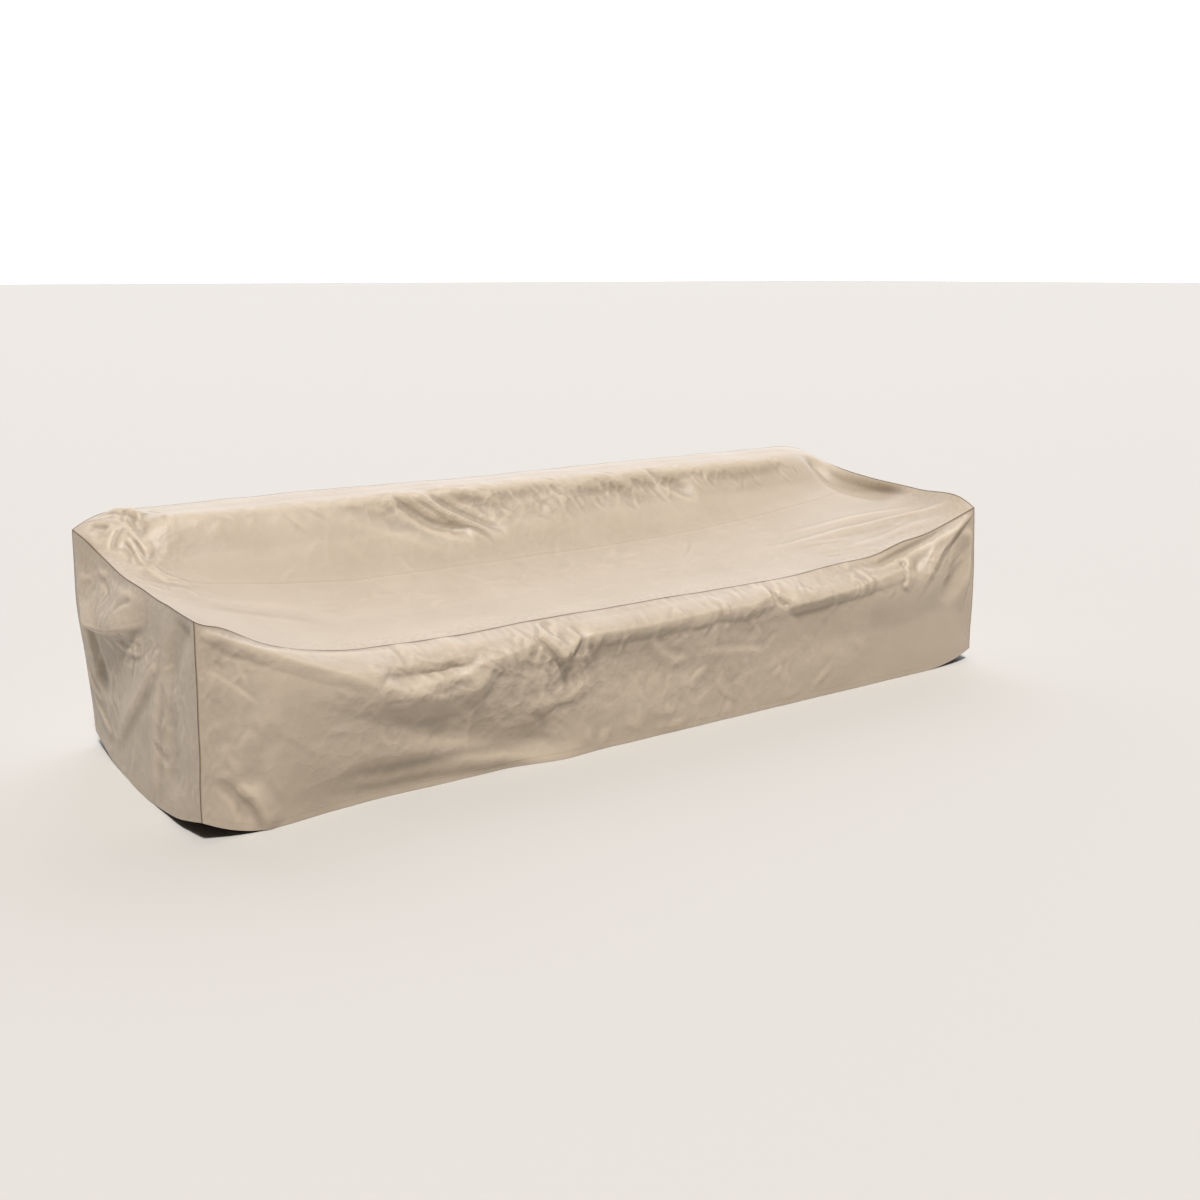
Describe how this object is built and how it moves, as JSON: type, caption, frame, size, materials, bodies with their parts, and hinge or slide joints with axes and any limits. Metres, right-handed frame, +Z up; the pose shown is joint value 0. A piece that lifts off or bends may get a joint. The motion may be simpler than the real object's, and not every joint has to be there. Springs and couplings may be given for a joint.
{
  "type": "outdoor sofa cover",
  "caption": "Long fitted cloth cover draped over a sofa with arms, sewn from shaped panels, hollow and open underneath, its hem close to the floor.",
  "frame": {"origin": "on the floor, under the middle of the cover's outline", "axes": "+X along the sofa's length to its right arm as seen from the front, +Y to the back, +Z up; the seat opens towards -Y"},
  "size_m": [3.4325, 1.177, 0.8247],
  "materials": {
    "cover_cloth": "warm sand woven polyester with a coated back, soft satin sheen"
  },
  "bodies": {
    "root": {"seat_panel": "cover_cloth", "backrest_panel": "cover_cloth", "front_panel": "cover_cloth", "rear_panel": "cover_cloth", "left_end_panel": "cover_cloth", "right_end_panel": "cover_cloth"}
  },
  "joints": []
}
